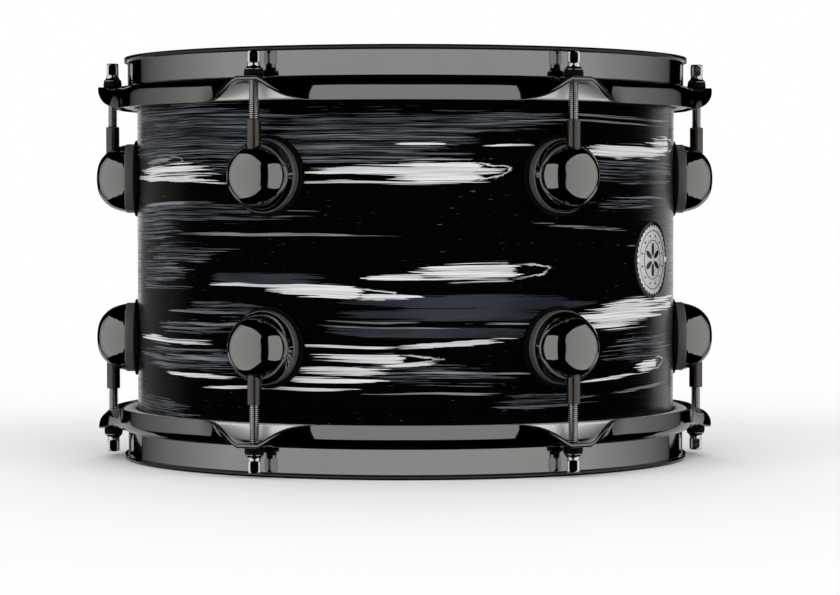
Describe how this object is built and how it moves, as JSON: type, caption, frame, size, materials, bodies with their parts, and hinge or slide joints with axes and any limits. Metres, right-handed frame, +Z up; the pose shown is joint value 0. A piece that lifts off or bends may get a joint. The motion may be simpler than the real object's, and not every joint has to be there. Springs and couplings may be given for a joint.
{
  "type": "tom drum",
  "caption": "Rack tom drum: a wrapped cylindrical shell with a head at each end, held by flanged hoops, tension rods and round lugs.",
  "frame": {"origin": "on the drum's axis, in the plane of the lower hoop's flat rim", "axes": "+Z up along the drum's axis, +X out through a pair of lugs, -Y the front, midway between two pairs of lugs"},
  "size_m": [0.3478, 0.325, 0.2232],
  "materials": {
    "maple": "clear satin lacquer over maple ply",
    "finish": "black gloss wrap with level white and blue-grey brush streaks",
    "black_nickel": "dark mirror plating on steel hoops and cast lugs",
    "chrome": "bright polished plating",
    "receiver": "brown-grey plating, slightly soft",
    "washer": "black nylon",
    "aluminium": "mill-bright rolled channel",
    "batter_film": "white coated polyester film",
    "resonant_film": "clear polyester film",
    "badge": "stamped silver disc with a black ring"
  },
  "bodies": {
    "drum_shell": {"shell": "maple", "finish_ply": "finish", "vent_eyelet": "black_nickel", "badge": "badge", "badge_pin_left": "chrome", "badge_pin_right": "chrome", "batter_lug_1": "black_nickel", "batter_lug_2": "black_nickel", "batter_lug_3": "black_nickel", "batter_lug_4": "black_nickel", "batter_lug_5": "black_nickel", "batter_lug_6": "black_nickel", "batter_receiver_1": "receiver", "batter_receiver_2": "receiver", "batter_receiver_3": "receiver", "batter_receiver_4": "receiver", "batter_receiver_5": "receiver", "batter_receiver_6": "receiver", "resonant_lug_1": "black_nickel", "resonant_lug_2": "black_nickel", "resonant_lug_3": "black_nickel", "resonant_lug_4": "black_nickel", "resonant_lug_5": "black_nickel", "resonant_lug_6": "black_nickel", "resonant_receiver_1": "receiver", "resonant_receiver_2": "receiver", "resonant_receiver_3": "receiver", "resonant_receiver_4": "receiver", "resonant_receiver_5": "receiver", "resonant_receiver_6": "receiver"},
    "batter_rim": {"batter_hoop": "black_nickel", "batter_film": "batter_film", "batter_flesh_hoop": "aluminium", "batter_washer_1": "washer", "batter_washer_2": "washer", "batter_washer_3": "washer", "batter_washer_4": "washer", "batter_washer_5": "washer", "batter_washer_6": "washer"},
    "batter_rod_1": {"batter_tension_rod_1": "chrome"},
    "batter_rod_2": {"batter_tension_rod_2": "chrome"},
    "batter_rod_3": {"batter_tension_rod_3": "chrome"},
    "batter_rod_4": {"batter_tension_rod_4": "chrome"},
    "batter_rod_5": {"batter_tension_rod_5": "chrome"},
    "batter_rod_6": {"batter_tension_rod_6": "chrome"},
    "resonant_rim": {"resonant_hoop": "black_nickel", "resonant_film": "resonant_film", "resonant_flesh_hoop": "aluminium", "resonant_washer_1": "washer", "resonant_washer_2": "washer", "resonant_washer_3": "washer", "resonant_washer_4": "washer", "resonant_washer_5": "washer", "resonant_washer_6": "washer"},
    "resonant_rod_1": {"resonant_tension_rod_1": "chrome"},
    "resonant_rod_2": {"resonant_tension_rod_2": "chrome"},
    "resonant_rod_3": {"resonant_tension_rod_3": "chrome"},
    "resonant_rod_4": {"resonant_tension_rod_4": "chrome"},
    "resonant_rod_5": {"resonant_tension_rod_5": "chrome"},
    "resonant_rod_6": {"resonant_tension_rod_6": "chrome"}
  },
  "joints": [
    {"name": "batter_tuning", "type": "slide", "parent": "drum_shell", "child": "batter_rim", "axis": [0, 0, 1], "range_m": [0, 0.018]},
    {"name": "batter_rod_1_turn", "type": "hinge", "parent": "batter_rim", "child": "batter_rod_1", "pos_m": [0.08245, -0.14281, 0.2111], "axis": [0, 0, 1], "range_deg": [0, 6123]},
    {"name": "batter_rod_2_turn", "type": "hinge", "parent": "batter_rim", "child": "batter_rod_2", "pos_m": [0.1649, 0, 0.2111], "axis": [0, 0, 1], "range_deg": [0, 6123]},
    {"name": "batter_rod_3_turn", "type": "hinge", "parent": "batter_rim", "child": "batter_rod_3", "pos_m": [0.08245, 0.14281, 0.2111], "axis": [0, 0, 1], "range_deg": [0, 6123]},
    {"name": "batter_rod_4_turn", "type": "hinge", "parent": "batter_rim", "child": "batter_rod_4", "pos_m": [-0.08245, 0.14281, 0.2111], "axis": [0, 0, 1], "range_deg": [0, 6123]},
    {"name": "batter_rod_5_turn", "type": "hinge", "parent": "batter_rim", "child": "batter_rod_5", "pos_m": [-0.1649, 0, 0.2111], "axis": [0, 0, 1], "range_deg": [0, 6123]},
    {"name": "batter_rod_6_turn", "type": "hinge", "parent": "batter_rim", "child": "batter_rod_6", "pos_m": [-0.08245, -0.14281, 0.2111], "axis": [0, 0, 1], "range_deg": [0, 6123]},
    {"name": "resonant_tuning", "type": "slide", "parent": "drum_shell", "child": "resonant_rim", "axis": [0, 0, -1], "range_m": [0, 0.018]},
    {"name": "resonant_rod_1_turn", "type": "hinge", "parent": "resonant_rim", "child": "resonant_rod_1", "pos_m": [0.08245, -0.14281, 0.0121], "axis": [0, 0, -1], "range_deg": [0, 6123]},
    {"name": "resonant_rod_2_turn", "type": "hinge", "parent": "resonant_rim", "child": "resonant_rod_2", "pos_m": [0.1649, 0, 0.0121], "axis": [0, 0, -1], "range_deg": [0, 6123]},
    {"name": "resonant_rod_3_turn", "type": "hinge", "parent": "resonant_rim", "child": "resonant_rod_3", "pos_m": [0.08245, 0.14281, 0.0121], "axis": [0, 0, -1], "range_deg": [0, 6123]},
    {"name": "resonant_rod_4_turn", "type": "hinge", "parent": "resonant_rim", "child": "resonant_rod_4", "pos_m": [-0.08245, 0.14281, 0.0121], "axis": [0, 0, -1], "range_deg": [0, 6123]},
    {"name": "resonant_rod_5_turn", "type": "hinge", "parent": "resonant_rim", "child": "resonant_rod_5", "pos_m": [-0.1649, 0, 0.0121], "axis": [0, 0, -1], "range_deg": [0, 6123]},
    {"name": "resonant_rod_6_turn", "type": "hinge", "parent": "resonant_rim", "child": "resonant_rod_6", "pos_m": [-0.08245, -0.14281, 0.0121], "axis": [0, 0, -1], "range_deg": [0, 6123]}
  ],
  "couplings": [
    {"joint": "batter_rod_1_turn", "follows": "batter_tuning", "rad_per_m": 5936.9},
    {"joint": "batter_rod_2_turn", "follows": "batter_tuning", "rad_per_m": 5936.9},
    {"joint": "batter_rod_3_turn", "follows": "batter_tuning", "rad_per_m": 5936.9},
    {"joint": "batter_rod_4_turn", "follows": "batter_tuning", "rad_per_m": 5936.9},
    {"joint": "batter_rod_5_turn", "follows": "batter_tuning", "rad_per_m": 5936.9},
    {"joint": "batter_rod_6_turn", "follows": "batter_tuning", "rad_per_m": 5936.9},
    {"joint": "resonant_rod_1_turn", "follows": "resonant_tuning", "rad_per_m": 5936.9},
    {"joint": "resonant_rod_2_turn", "follows": "resonant_tuning", "rad_per_m": 5936.9},
    {"joint": "resonant_rod_3_turn", "follows": "resonant_tuning", "rad_per_m": 5936.9},
    {"joint": "resonant_rod_4_turn", "follows": "resonant_tuning", "rad_per_m": 5936.9},
    {"joint": "resonant_rod_5_turn", "follows": "resonant_tuning", "rad_per_m": 5936.9},
    {"joint": "resonant_rod_6_turn", "follows": "resonant_tuning", "rad_per_m": 5936.9}
  ]
}
